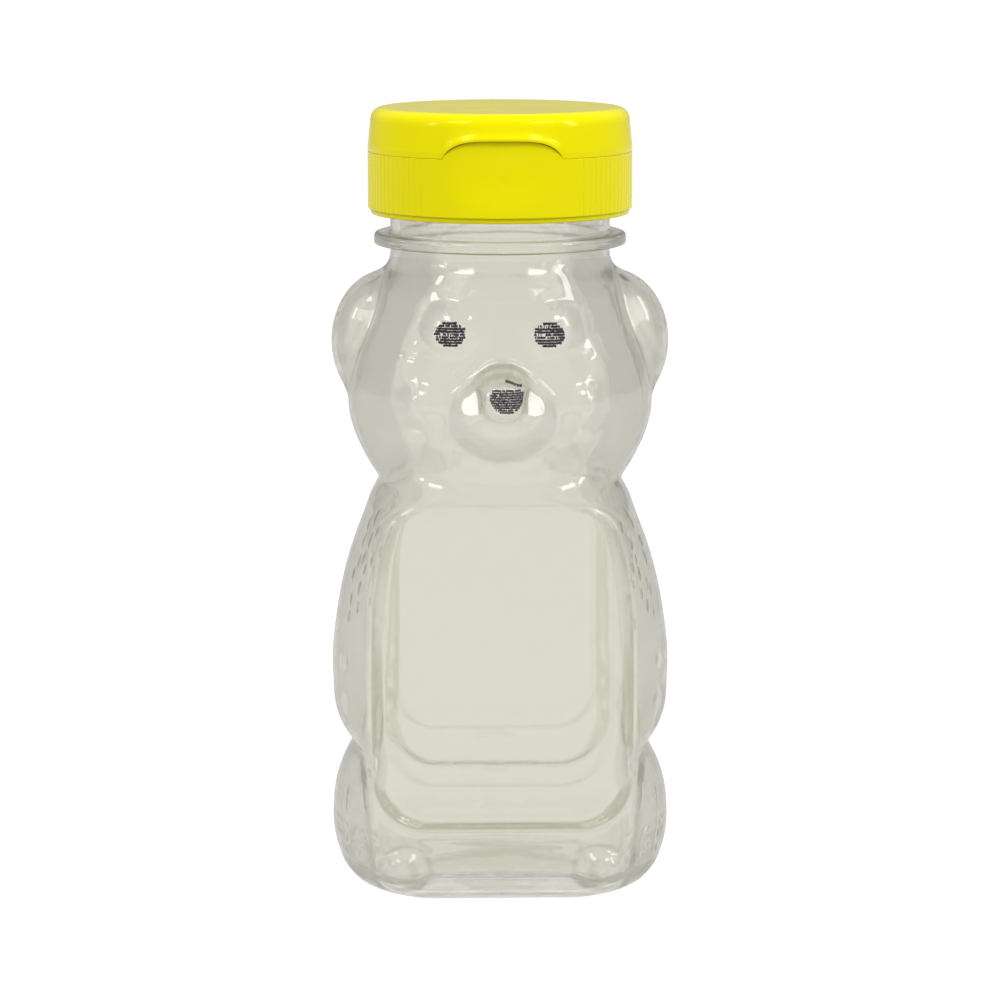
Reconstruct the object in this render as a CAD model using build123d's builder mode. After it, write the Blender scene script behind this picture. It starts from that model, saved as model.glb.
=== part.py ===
from build123d import *
import os
from math import sqrt

# Honey bear bottle with a snap-top closure, in millimetres. The bear stands on z = 0 with the
# neck's axis on Z and faces -Y.

# Overall form of the bear
neck_radius = 16.9
neck_wall = 1.5
bear_wall = 0.65
base_wall = 0.8
notch_height = 22.4
waist_height = 63.6
shoulder_height = 96.0
shoulder_flare = 0.85
flare_height = 2.2
flare_overlap = 1.2
flare_lip = 0.1
bore_flare = 0.3
leg_half_width = 26.3
arm_half_width = 26.2
head_half_width = 23.4
torso_half_depth = 20.6
head_half_depth = 19.4

# Neck finish
ring_underside_height = 99.9
ring_thickness = 1.8
ring_radius = 19.4
ring_edge_bevel = 0.3
finish_height = 10.7
thread_pitch = 4.233
thread_depth = 1.15
thread_foot = 2.2
thread_crest = 0.9
thread_top_gap = 2.1
thread_turns = 1.1
thread_bite = 0.3

# Label panels
panel_half_width = 19.3
panel_foot_height = 12.6
panel_head_height = 61.8
panel_corner = 7.6
panel_sink = 0.9
back_panel_half_width = 17.6

# Ears, face, paws, feet and tail
ear_offset = 17.0
ear_height = 84.8
ear_half_width = 9.1
ear_half_depth = 6.2
ear_half_height = 11.2
brow_offset = 7.6
brow_height = 88.2
brow_setback = 13.2
brow_half_width = 7.0
brow_half_depth = 5.4
brow_half_height = 6.2
bridge_height = 85.0
bridge_setback = 15.0
bridge_half_width = 2.6
bridge_half_depth = 4.2
bridge_half_height = 6.4
muzzle_height = 75.8
muzzle_setback = 16.4
muzzle_half_width = 8.6
muzzle_half_depth = 7.4
muzzle_half_height = 7.4
snout_height = 78.6
snout_setback = 21.2
snout_radius = 4.6
cheek_offset = 10.9
cheek_height = 76.9
cheek_setback = 14.2
cheek_radius = 4.8
paw_offset = 21.0
paw_height = 31.0
paw_setback = 12.6
paw_radius = 3.6
foot_offset = 14.2
foot_height = 5.2
foot_setback = 16.6
foot_half_width = 4.6
foot_half_depth = 6.2
foot_half_height = 4.4
tail_height = 8.8
tail_setback = 17.4
tail_half_width = 6.6
tail_half_depth = 4.4
tail_half_height = 4.8
push_up_half_width = 13.0
push_up_half_depth = 10.0
push_up_rise = 3.0

# Printed eyes and nose
ink_thickness = 0.05
eye_print_offset = 7.4
eye_print_shift = -0.5
eye_print_height = 88.0
eye_print_half_width = 2.4
eye_print_half_height = 2.0
nose_print_shift = 0.45
nose_print_height = 78.7
nose_print_half_width = 2.35
nose_print_half_height = 1.7

# Closure base
closure_radius = 20.3
closure_skirt_height = 8.7
parting_height = 9.5
lower_band_height = 0.8
lower_band_inset = 0.4
thread_play = 0.2
thread_flank_play = 0.15
inner_thread_turns = 1.35
inner_thread_lead_in = 0.5
upper_skirt_radius = 17.5
deck_thickness = 1.1
collar_radius = 16.8
collar_wall = 1.1
collar_rise = 1.9
snap_bead = 0.12
snap_bead_half_height = 0.36
spout_radius = 4.5
spout_rise = 1.5
orifice_radius = 3.175
grip_count = 108
grip_depth = 0.16
smooth_front_angle = 36.0
smooth_back_angle = 30.0
dish_foot_height = 2.0
dish_bend_height = 8.4
dish_half_width = 8.8
dish_depth = 0.8
arch_half_width = 9.0
arch_rise = 2.75
arch_haunch_shares = (0.91, 0.69)
arch_crown_share = 0.71
thumb_rest_play = 0.25
thumb_rest_bite = 0.5

# Seal liner
liner_thickness = 0.9
liner_inner_radius = 14.8
liner_outer_radius = 17.2

# Flip lid
lid_gap = 0.12
lid_height = 6.7
lid_draft = 0.6
lid_shoulder_round = 2.2
lid_wall = 1.2
lid_straight = 0.9
arch_cut_depth = 6.3
snap_ring_wall = 0.9
snap_ring_play = 0.25
snap_ring_gap = 0.3
plug_play = 0.18
plug_wall = 0.8
plug_reach = 2.2
plug_nose = 0.3

# Living hinge
film_thickness = 0.35
web_half_angle = 11.0
web_half_height = 0.9
strap_near_angle = 16.0
strap_far_angle = 26.0
strap_drop = 2.4

# Heights that follow from the sizes above
ring_top = ring_underside_height + ring_thickness
neck_top = ring_top + finish_height
deck_underside = neck_top + liner_thickness
deck_top = deck_underside + deck_thickness
closure_foot = neck_top - closure_skirt_height + liner_thickness
parting = closure_foot + parting_height
lid_foot = parting + lid_gap
lid_top = parting + lid_height
bore_radius = neck_radius - neck_wall
thread_top = neck_top - thread_top_gap
thread_start = thread_top - thread_turns * thread_pitch

# Level sections of the bear: share of the height, of the half width, of the half depth, and of
# the half width that runs straight across the front and back
leg_section_shares = (
    (0.0, 0.76, 0.77, 0.40),
    (0.03, 0.85, 0.85, 0.45),
    (0.10, 0.92, 0.92, 0.52),
    (0.24, 0.975, 0.975, 0.58),
    (0.50, 1.0, 1.0, 0.63),
    (0.78, 0.955, 1.0, 0.66),
    (1.0, 0.855, 0.985, 0.68),
)
arm_section_shares = (
    (0.0, 0.855, 0.985, 0.68),
    (0.07, 0.945, 1.0, 0.68),
    (0.26, 1.0, 1.0, 0.67),
    (0.48, 0.975, 1.0, 0.66),
    (0.70, 0.90, 1.0, 0.65),
    (0.86, 0.81, 0.995, 0.60),
    (0.95, 0.755, 0.975, 0.54),
    (1.0, 0.71, 0.92, 0.46),
)
# Head: share of the height, of the half width, of the half depth, and the fullness of the quarter
head_section_shares = (
    (0.0, 0.80, 0.935, 0.60),
    (0.10, 0.885, 0.97, 0.61),
    (0.32, 1.0, 1.0, 0.62),
    (0.56, 0.965, 0.995, 0.62),
    (0.80, 0.845, 0.95, 0.60),
    (1.0, 0.757, 0.913, 0.5523),
)


def ellipsoid(half_width, half_depth, half_height):
    ball = Sphere(half_width, mode=Mode.PRIVATE)
    return scale(ball, by=(1, half_depth / half_width, half_height / half_width), mode=Mode.PRIVATE)


def arch_line(half_width, rise):
    """Half of the thumb arch, from its foot on the parting to its crown."""
    haunch_x_share, haunch_z_share = arch_haunch_shares
    return Bezier(
        (half_width, parting),
        (half_width * haunch_x_share, parting + rise * haunch_z_share),
        (half_width * arch_crown_share, parting + rise),
        (0, parting + rise),
    )


def bear_form(inset, small_lobes=True):
    """The bear from its base to the shoulder, with every wall moved in by inset."""
    foot_lobe = ellipsoid(foot_half_width - inset, foot_half_depth - inset, foot_half_height - inset)
    ear_lobe = ellipsoid(ear_half_width - inset, ear_half_depth - inset, ear_half_height - inset)
    tail_lobe = ellipsoid(tail_half_width - inset, tail_half_depth - inset, tail_half_height - inset)
    brow_lobe = ellipsoid(brow_half_width - inset, brow_half_depth - inset, brow_half_height - inset)
    bridge_lobe = ellipsoid(
        bridge_half_width - inset, bridge_half_depth - inset, bridge_half_height - inset
    )
    muzzle_lobe = ellipsoid(
        muzzle_half_width - inset, muzzle_half_depth - inset, muzzle_half_height - inset
    )
    foot = base_wall if inset > 0 else 0
    with BuildPart() as form:
        lobes = (
            (foot, notch_height, leg_half_width, leg_section_shares),
            (notch_height, waist_height, arm_half_width, arm_section_shares),
        )
        for low, high, half_width, shares in lobes:
            for rise_share, width_share, depth_share, flat_share in shares:
                wide = half_width * width_share - inset
                deep = torso_half_depth * depth_share - inset
                flat = half_width * flat_share - inset
                with BuildSketch(Plane.XY.offset(low + (high - low) * rise_share)):
                    with BuildLine():
                        Line((0, -deep), (flat, -deep))
                        EllipticalCenterArc((flat, 0), wide - flat, deep, -90, arc_size=90)
                        mirror(about=Plane.XZ)
                        mirror(about=Plane.YZ)
                    make_face()
            loft()
        for rise_share, width_share, depth_share, fullness_share in head_section_shares:
            wide = head_half_width * width_share - inset
            deep = head_half_depth * depth_share - inset
            if rise_share == 1:
                bore_mouth = bore_radius + bore_flare
                wide = deep = bore_mouth if inset > 0 else neck_radius + shoulder_flare - inset
            level = waist_height + (shoulder_height - waist_height) * rise_share
            with BuildSketch(Plane.XY.offset(level)):
                with BuildLine():
                    side_corner = (wide, -deep * fullness_share)
                    Bezier((0, -deep), (wide * fullness_share, -deep), side_corner, (wide, 0))
                    mirror(about=Plane.XZ)
                    mirror(about=Plane.YZ)
                make_face()
        loft()
        for side in (-1, 1):
            with Locations((side * ear_offset, 0, ear_height)):
                add(ear_lobe)
            with Locations((side * cheek_offset, -cheek_setback, cheek_height)):
                Sphere(cheek_radius - inset)
            with Locations((side * foot_offset, -foot_setback, foot_height)):
                add(foot_lobe)
            if small_lobes:
                with Locations((side * brow_offset, -brow_setback, brow_height)):
                    add(brow_lobe)
                with Locations((side * paw_offset, -paw_setback, paw_height)):
                    Sphere(paw_radius - inset)
        if small_lobes:
            with Locations((0, -bridge_setback, bridge_height)):
                add(bridge_lobe)
        with Locations((0, -muzzle_setback, muzzle_height)):
            add(muzzle_lobe)
        with Locations((0, -snout_setback, snout_height)):
            Sphere(snout_radius - inset)
        with Locations((0, tail_setback, tail_height)):
            add(tail_lobe)
        # flat label panels sunk into the front and the back
        for side, half_width in ((-1, panel_half_width), (1, back_panel_half_width)):
            depth = torso_half_depth - panel_sink - inset
            face = Plane((0, side * depth, 0), x_dir=(1, 0, 0), z_dir=(0, side, 0))
            middle = (panel_foot_height + panel_head_height) / 2
            with BuildSketch(face):
                with Locations((0, -side * middle)):
                    RectangleRounded(
                        2 * (half_width + inset),
                        panel_head_height - panel_foot_height + 2 * inset,
                        panel_corner + inset,
                    )
            extrude(amount=torso_half_depth, mode=Mode.SUBTRACT)
        # pushed-up middle of the base
        push_up = ellipsoid(
            push_up_half_width + inset, push_up_half_depth + inset, push_up_rise + foot
        )
        add(push_up, mode=Mode.SUBTRACT)
    return form.part


os.makedirs("parts", exist_ok=True)

# Bottle: bear, straight neck, transfer ring and outer thread, hollow up to the mouth
bear_outside = bear_form(0)
bear_inside = bear_form(bear_wall, small_lobes=False)
with BuildPart() as bottle:
    add(bear_outside)
    with BuildSketch(Plane.XY.offset(shoulder_height)):
        Circle(neck_radius)
    extrude(amount=neck_top - shoulder_height)
    # the neck runs out into the head in a soft flare
    flare_root = neck_radius - thread_bite
    flare_foot = (neck_radius + shoulder_flare + flare_lip, shoulder_height - flare_lip)
    flare_head = (neck_radius - flare_lip, shoulder_height + flare_height)
    with BuildSketch(Plane.XZ):
        with BuildLine():
            Bezier(
                flare_foot,
                (neck_radius + shoulder_flare / 2, shoulder_height + flare_height / 2),
                (neck_radius, shoulder_height + flare_height / 2),
                flare_head,
            )
            Polyline(
                flare_head,
                (flare_root, shoulder_height + flare_height),
                (flare_root, shoulder_height - flare_overlap),
                flare_foot,
            )
        make_face()
    revolve(axis=Axis.Z)
    with BuildSketch(Plane.XZ):
        with BuildLine():
            Polyline(
                (neck_radius - thread_bite, ring_underside_height),
                (ring_radius, ring_underside_height),
                (ring_radius, ring_top),
                (neck_radius - thread_bite, ring_top),
                close=True,
            )
        make_face()
        ring_rim = vertices().sort_by(Axis.X)[-2:]
        chamfer(ring_rim, ring_edge_bevel)
    revolve(axis=Axis.Z)
    with BuildLine():
        neck_rise = thread_turns * thread_pitch
        neck_helix = Helix(thread_pitch, neck_rise, neck_radius, center=(0, 0, thread_start))
    with BuildSketch(Plane(neck_helix @ 0, x_dir=(1, 0, 0), z_dir=neck_helix % 0)):
        with BuildLine():
            Polyline(
                (-thread_bite, -thread_foot / 2),
                (thread_depth, -thread_crest / 2),
                (thread_depth, thread_crest / 2),
                (-thread_bite, thread_foot / 2),
                close=True,
            )
        make_face()
    sweep(path=neck_helix, is_frenet=True)
    add(bear_inside, mode=Mode.SUBTRACT)
    with BuildSketch(Plane.XY.offset(shoulder_height)):
        Circle(bore_radius)
    extrude(amount=neck_top - shoulder_height, mode=Mode.SUBTRACT)

# Printed eyes and nose: ink laid on the bear's skin
ink_skin = bear_form(-ink_thickness)
eye_middles = (
    ("left_eye_print", eye_print_shift - eye_print_offset),
    ("right_eye_print", eye_print_shift + eye_print_offset),
)
for print_name, eye_x in eye_middles:
    with BuildPart() as eye_print:
        with BuildSketch(Plane.XZ):
            with Locations((eye_x, eye_print_height)):
                Ellipse(eye_print_half_width, eye_print_half_height)
        extrude(amount=2 * torso_half_depth)
        add(ink_skin, mode=Mode.INTERSECT)
        add(bear_outside, mode=Mode.SUBTRACT)
    eye_print.part.label = print_name
    export_step(eye_print.part, f"parts/{print_name}.step")

with BuildPart() as nose_print:
    with BuildSketch(Plane.XZ):
        with Locations((nose_print_shift, nose_print_height)):
            Ellipse(nose_print_half_width, nose_print_half_height)
    extrude(amount=2 * torso_half_depth)
    add(ink_skin, mode=Mode.INTERSECT)
    add(bear_outside, mode=Mode.SUBTRACT)

# Seal liner: the flat ring between the neck's land and the closure's deck
with BuildPart() as seal_liner:
    with BuildSketch(Plane.XY.offset(neck_top)):
        Circle(liner_outer_radius)
        Circle(liner_inner_radius, mode=Mode.SUBTRACT)
    extrude(amount=liner_thickness)

# Closure base: grip skirt, deck with a pouring spout, collar for the lid, inner thread
skirt_root_radius = neck_radius + thread_depth + thread_play
thread_relief_height = neck_top - liner_thickness
band_top = closure_foot + lower_band_height
dish_foot = closure_foot + dish_foot_height
dish_bend = closure_foot + dish_bend_height
dish_face = closure_radius - dish_depth
grip_step = 360 / grip_count
grips = int((180 - smooth_front_angle - smooth_back_angle) / grip_step)
# thumb rest: the front of the base stands up behind the lid's arch, joined to the collar
with BuildPart() as thumb_rest:
    with BuildSketch(Plane.XZ.offset(collar_radius - collar_wall)):
        with BuildLine():
            arch_line(arch_half_width - thumb_rest_play, arch_rise - thumb_rest_play)
            mirror(about=Plane.YZ)
            Polyline(
                (thumb_rest_play - arch_half_width, parting),
                (thumb_rest_play - arch_half_width, parting - thumb_rest_bite),
                (arch_half_width - thumb_rest_play, parting - thumb_rest_bite),
                (arch_half_width - thumb_rest_play, parting),
            )
        make_face()
    extrude(amount=closure_radius - collar_radius + collar_wall)
    with BuildSketch(Plane.XY.offset(parting - thumb_rest_bite)):
        Circle(closure_radius)
        Circle(collar_radius - collar_wall / 2, mode=Mode.SUBTRACT)
    extrude(amount=arch_rise + thumb_rest_bite, mode=Mode.INTERSECT)

with BuildPart() as closure_base:
    with BuildSketch(Plane.XY.offset(closure_foot)):
        Circle(closure_radius - lower_band_inset)
    extrude(amount=lower_band_height)
    with BuildSketch(Plane.XY.offset(band_top)):
        Circle(closure_radius)
        for first_angle in (-90 + smooth_front_angle, 90 + smooth_back_angle):
            with PolarLocations(closure_radius, grips + 1, first_angle, grips * grip_step, endpoint=True):
                RegularPolygon(grip_depth, 3, rotation=180, mode=Mode.SUBTRACT)
    extrude(amount=parting - band_top)
    with BuildSketch(Plane.XZ):
        with BuildLine():
            Polyline(
                (0, parting - deck_thickness),
                (0, deck_top),
                (collar_radius - collar_wall, deck_top),
                (collar_radius - collar_wall, parting + collar_rise),
                (collar_radius, parting + collar_rise),
                (collar_radius + snap_bead, parting + collar_rise - snap_bead_half_height),
                (collar_radius, parting + collar_rise - 2 * snap_bead_half_height),
                (collar_radius, parting - deck_thickness),
                close=True,
            )
        make_face()
    revolve(axis=Axis.Z)
    with BuildSketch(Plane.XY.offset(deck_top)):
        Circle(spout_radius)
    extrude(amount=spout_rise)
    with BuildSketch(Plane.XY.offset(closure_foot)):
        Circle(skirt_root_radius)
    extrude(amount=thread_relief_height - closure_foot, mode=Mode.SUBTRACT)
    with BuildSketch(Plane.XY.offset(thread_relief_height)):
        Circle(upper_skirt_radius)
    extrude(amount=deck_underside - thread_relief_height, mode=Mode.SUBTRACT)
    with BuildSketch(Plane.XY.offset(deck_underside)):
        Circle(orifice_radius)
    extrude(amount=deck_thickness + spout_rise, mode=Mode.SUBTRACT)

    # inner thread, a ridge that runs just under the neck's
    thread_drop = (
        thread_foot
        - (thread_foot - thread_crest) / 2 * (1 + thread_play / thread_depth)
        + thread_flank_play
    )
    inner_thread_start = (0, 0, thread_start - thread_drop)
    with BuildLine():
        skirt_helix = Helix(
            thread_pitch,
            inner_thread_turns * thread_pitch,
            skirt_root_radius,
            center=inner_thread_start,
        )
    with BuildSketch(Plane(skirt_helix @ 0, x_dir=(1, 0, 0), z_dir=skirt_helix % 0)):
        with BuildLine():
            Polyline(
                (thread_bite, -thread_foot / 2),
                (-thread_depth, -thread_crest / 2),
                (-thread_depth, thread_crest / 2),
                (thread_bite, thread_foot / 2),
                close=True,
            )
        make_face()
    sweep(path=skirt_helix, is_frenet=True)
    with BuildSketch(Plane.XY.offset(closure_foot)):
        Circle(closure_radius)
    extrude(amount=-thread_pitch, mode=Mode.SUBTRACT)
    with BuildSketch(Plane.XY.offset(closure_foot)):
        Circle(skirt_root_radius)
    extrude(amount=inner_thread_lead_in, mode=Mode.SUBTRACT)
    # finger dish: a bowed face that curves out to the skirt's own surface at its foot
    add(thumb_rest.part)
    sagitta = closure_radius - sqrt(closure_radius**2 - dish_half_width**2) - dish_depth
    bow_radius = (dish_half_width**2 + sagitta**2) / (2 * sagitta)
    with BuildSketch(Plane.YZ):
        with BuildLine():
            dish_curve = TangentArc(
                (-dish_face, dish_bend), (-closure_radius, dish_foot), tangent=(0, -1)
            )
            Polyline(
                dish_curve @ 1,
                (-closure_radius - dish_depth, dish_foot),
                (-closure_radius - dish_depth, parting + arch_rise),
                (-dish_face, parting + arch_rise),
                dish_curve @ 0,
            )
        make_face()
    revolve(axis=Axis((0, bow_radius - dish_face, 0), (0, 0, 1)), mode=Mode.SUBTRACT)

# Flip lid: drafted cup with the thumb arch, a ring that grips the collar and a hollow plug
lid_ceiling = lid_top - lid_wall
lid_bore = closure_radius - lid_draft / 2 - lid_wall
snap_ring_inner = collar_radius + snap_bead + snap_ring_play
snap_ring_outer = snap_ring_inner + snap_ring_wall
plug_radius = orifice_radius - plug_play
plug_tip = deck_top + spout_rise - plug_reach
with BuildPart() as flip_lid:
    with BuildSketch(Plane.XZ):
        with BuildLine():
            Polyline(
                (0, lid_foot),
                (closure_radius, lid_foot),
                (closure_radius, parting + lid_straight),
                (closure_radius - lid_draft, lid_top),
                (0, lid_top),
                close=True,
            )
        make_face()
        lid_shoulder = vertices().group_by(Axis.Y)[-1].sort_by(Axis.X)[-1]
        fillet(lid_shoulder, lid_shoulder_round)
    revolve(axis=Axis.Z)
    with BuildSketch(Plane.XY.offset(lid_foot)):
        Circle(lid_bore)
    extrude(amount=lid_ceiling - lid_foot, mode=Mode.SUBTRACT)
    with BuildSketch(Plane.XY.offset(lid_foot + snap_ring_gap)):
        Circle(snap_ring_outer)
        Circle(snap_ring_inner, mode=Mode.SUBTRACT)
    extrude(amount=lid_ceiling - lid_foot - snap_ring_gap)
    with BuildSketch(Plane.XY.offset(plug_tip)):
        Circle(plug_radius)
        Circle(plug_radius - plug_wall, mode=Mode.SUBTRACT)
    extrude(amount=lid_ceiling - plug_tip)
    plug_rim = edges().filter_by(GeomType.CIRCLE).group_by(Axis.Z)[0].sort_by(SortBy.RADIUS)[-1]
    chamfer(plug_rim, plug_nose)
    # the arch goes through the skirt and the snap ring, and the base's thumb rest fills it
    with BuildSketch(Plane.XZ.offset(closure_radius)):
        with BuildLine():
            arch_line(arch_half_width, arch_rise)
            mirror(about=Plane.YZ)
            Line((-arch_half_width, parting), (arch_half_width, parting))
        make_face()
    extrude(amount=-arch_cut_depth, mode=Mode.SUBTRACT)

# Living hinge: the film web across the back and a tension strap on each side of it
film_outer = closure_radius + film_thickness
with BuildPart() as hinge_web:
    with BuildSketch(Plane.XZ.rotated((0, 0, 90 - web_half_angle))):
        with BuildLine():
            Polyline(
                (closure_radius, parting - web_half_height),
                (film_outer, parting - web_half_height),
                (film_outer, parting + web_half_height),
                (closure_radius, parting + web_half_height),
                close=True,
            )
        make_face()
    revolve(axis=Axis.Z, revolution_arc=2 * web_half_angle)

straps = []
for first_angle in (90 - strap_far_angle, 90 + strap_near_angle):
    with BuildPart() as strap:
        with BuildSketch(Plane.XZ.rotated((0, 0, first_angle))):
            with BuildLine():
                Polyline(
                    (closure_radius, parting - strap_drop),
                    (film_outer, parting - strap_drop),
                    (film_outer, parting + web_half_height),
                    (closure_radius, parting + web_half_height),
                    close=True,
                )
            make_face()
        revolve(axis=Axis.Z, revolution_arc=strap_far_angle - strap_near_angle)
    straps.append(strap)

for piece, name in (
    (bottle, "bottle"),
    (nose_print, "nose_print"),
    (seal_liner, "seal_liner"),
    (closure_base, "closure_base"),
    (flip_lid, "flip_lid"),
    (hinge_web, "hinge_web"),
    (straps[0], "right_hinge_strap"),
    (straps[1], "left_hinge_strap"),
):
    piece.part.label = name
    export_step(piece.part, f"parts/{name}.step")
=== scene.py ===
import math
import bpy
import numpy as np
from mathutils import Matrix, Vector


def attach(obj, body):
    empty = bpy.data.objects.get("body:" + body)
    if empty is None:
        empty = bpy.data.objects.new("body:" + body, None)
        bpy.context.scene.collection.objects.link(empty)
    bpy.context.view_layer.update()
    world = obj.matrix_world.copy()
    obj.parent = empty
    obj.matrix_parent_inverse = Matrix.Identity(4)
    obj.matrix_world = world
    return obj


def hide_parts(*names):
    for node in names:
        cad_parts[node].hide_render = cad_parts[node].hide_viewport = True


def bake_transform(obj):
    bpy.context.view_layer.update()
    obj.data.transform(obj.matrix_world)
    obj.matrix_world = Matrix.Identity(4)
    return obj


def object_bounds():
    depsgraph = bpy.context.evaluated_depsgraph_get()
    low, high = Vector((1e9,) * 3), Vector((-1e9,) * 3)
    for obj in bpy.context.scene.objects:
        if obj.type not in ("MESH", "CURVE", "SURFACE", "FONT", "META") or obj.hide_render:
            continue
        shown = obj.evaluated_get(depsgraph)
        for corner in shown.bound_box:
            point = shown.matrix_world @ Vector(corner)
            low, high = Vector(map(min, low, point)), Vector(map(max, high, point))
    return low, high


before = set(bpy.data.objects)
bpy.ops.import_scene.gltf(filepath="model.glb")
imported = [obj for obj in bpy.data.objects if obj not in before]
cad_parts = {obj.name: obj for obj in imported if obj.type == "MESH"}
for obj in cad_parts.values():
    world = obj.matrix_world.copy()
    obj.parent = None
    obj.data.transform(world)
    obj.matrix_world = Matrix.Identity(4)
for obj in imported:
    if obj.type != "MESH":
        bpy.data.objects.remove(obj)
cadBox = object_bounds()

mm = 0.001  # every shape below is worked out in millimetres
overrun = 0.01
facingLimit = 0.2  # least lean to the front or back at which a place counts as facing it
rng = np.random.default_rng(7)
print("frame loaded,", len(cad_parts), "solids")


# small tools for building skins

def addMesh(name, points, quads, triangles):
    mesh = bpy.data.meshes.new(name)
    corners = np.concatenate([quads.ravel(), triangles.ravel()]).astype(np.int32)
    sides = np.concatenate([np.full(len(quads), 4), np.full(len(triangles), 3)])
    starts = np.concatenate([[0], np.cumsum(sides)[:-1]]).astype(np.int32)
    mesh.vertices.add(len(points))
    mesh.vertices.foreach_set("co", (points * mm).astype(np.float32).ravel())
    mesh.loops.add(len(corners))
    mesh.loops.foreach_set("vertex_index", corners)
    mesh.polygons.add(len(sides))
    mesh.polygons.foreach_set("loop_start", starts)
    mesh.polygons.foreach_set("use_smooth", np.ones(len(sides), bool))
    mesh.update(calc_edges=True)
    mesh.validate()
    piece = bpy.data.objects.new(name, mesh)
    bpy.context.scene.collection.objects.link(piece)
    return piece


def ringSkin(name, rings, loop=False, firstPole=None, lastPole=None):
    # rings go up the outside of the wall, each one counted anticlockwise seen from above
    rows, columns = rings.shape[:2]
    points = rings.reshape(-1, 3)
    grid = np.arange(rows * columns).reshape(rows, columns)
    if loop:
        grid = np.vstack([grid, grid[:1]])
    low, high = grid[:-1], grid[1:]
    quads = np.stack([low, np.roll(low, -1, 1), np.roll(high, -1, 1), high], -1).reshape(-1, 4)
    fans = []
    if firstPole is not None:
        tip = np.full(columns, len(points))
        fans.append(np.stack([tip, np.roll(grid[0], -1), grid[0]], -1))
        points = np.vstack([points, firstPole])
    if lastPole is not None:
        tip = np.full(columns, len(points))
        fans.append(np.stack([grid[-1], np.roll(grid[-1], -1), tip], -1))
        points = np.vstack([points, lastPole])
    triangles = np.vstack(fans) if fans else np.empty((0, 3), int)
    return addMesh(name, points, quads, triangles)


def softPath(corners, step, loop=False, arcSteps=6):
    # a line of (radius, height) through the corners, each rounded by its third number
    mostShare = 0.49  # of a side that one rounding may take
    line = []
    for index, (radius, height, rounding) in enumerate(corners):
        here = np.array((radius, height), float)
        if rounding == 0 or (not loop and index in (0, len(corners) - 1)):
            line.append(here)
            continue
        back = np.array(corners[index - 1][:2]) - here
        on = np.array(corners[(index + 1) % len(corners)][:2]) - here
        backLength, onLength = np.linalg.norm(back), np.linalg.norm(on)
        back, on = back / backLength, on / onLength
        halfAngle = math.acos(float(np.clip(back @ on, -1, 1))) / 2
        reach = min(rounding / math.tan(halfAngle), mostShare * backLength, mostShare * onLength)
        for t in np.linspace(0, 1, arcSteps):
            line.append(here + back * reach * (1 - t) ** 2 + on * reach * t ** 2)
    ends = line[1:] + line[:1] if loop else line[1:]
    path = []
    for start, end in zip(line, ends):
        parts = max(1, int(round(np.linalg.norm(end - start) / step)))
        path += [start + (end - start) * part / parts for part in range(parts)]
    if not loop:
        path.append(line[-1])
    return np.array(path)


def turned(path, angles):
    # revolves a path of (radius, height) into rings
    radius = path[:, 0][:, None]
    level = np.repeat(path[:, 1][:, None], len(angles), 1)
    return np.stack([radius * np.cos(angles), radius * np.sin(angles), level], -1)


def smoothStep(low, high, value):
    t = np.clip((value - low) / (high - low), 0, 1)
    return t * t * (3 - 2 * t)


def bell(value, width):
    return np.exp(-0.5 * (value / width) ** 2)


def softMax(first, second, blend):
    near = np.clip(blend - np.abs(first - second), 0, None) / blend
    return np.maximum(first, second) + near * near * blend / 4


def easeThrough(at, places, sizes):
    # a smooth curve through a short list of sizes
    places, sizes = np.array(places, float), np.array(sizes, float)
    slopes = np.gradient(sizes, places)
    left = np.clip(np.searchsorted(places, at, side="right") - 1, 0, len(places) - 2)
    span = places[left + 1] - places[left]
    t = (at - places[left]) / span
    return (
        (1 + 2 * t) * (1 - t) ** 2 * sizes[left] + t * (1 - t) ** 2 * span * slopes[left]
        + t * t * (3 - 2 * t) * sizes[left + 1] + t * t * (t - 1) * span * slopes[left + 1]
    )


def blurred(field, sigmaRows, sigmaColumns):
    # columns go round the piece, so they wrap; rows keep their slope at the ends
    tail = 3  # how many sigmas the blur reaches
    for axis, sigma in ((0, sigmaRows), (1, sigmaColumns)):
        reach = max(1, int(math.ceil(sigma * tail)))
        weights = bell(np.arange(-reach, reach + 1), sigma)
        weights /= weights.sum()
        pad = [(0, 0), (0, 0)]
        pad[axis] = (reach, reach)
        if axis == 0:
            wide = np.pad(field, pad, mode="reflect", reflect_type="odd")
        else:
            wide = np.pad(field, pad, mode="wrap")
        size = field.shape[axis]
        field = sum(
            weight * np.take(wide, range(first, first + size), axis=axis)
            for first, weight in enumerate(weights)
        )
    return field


def lobeReach(angles, heights, middle, half):
    # how far from the neck's axis each level ray leaves an ellipsoid
    c, s = np.cos(angles), np.sin(angles)
    a = (c / half[0]) ** 2 + (s / half[1]) ** 2
    b = c * middle[0] / half[0] ** 2 + s * middle[1] / half[1] ** 2
    rest = (
        (middle[0] / half[0]) ** 2 + (middle[1] / half[1]) ** 2
        + ((heights - middle[2]) / half[2]) ** 2 - 1
    )
    inside = b * b - a * rest
    reach = (b + np.sign(inside) * np.sqrt(np.abs(inside))) / a
    return np.where(b > 0, reach, 0)


# the clear bottle: each place on its skin is a reach from the neck's axis, at an angle and a height

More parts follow.
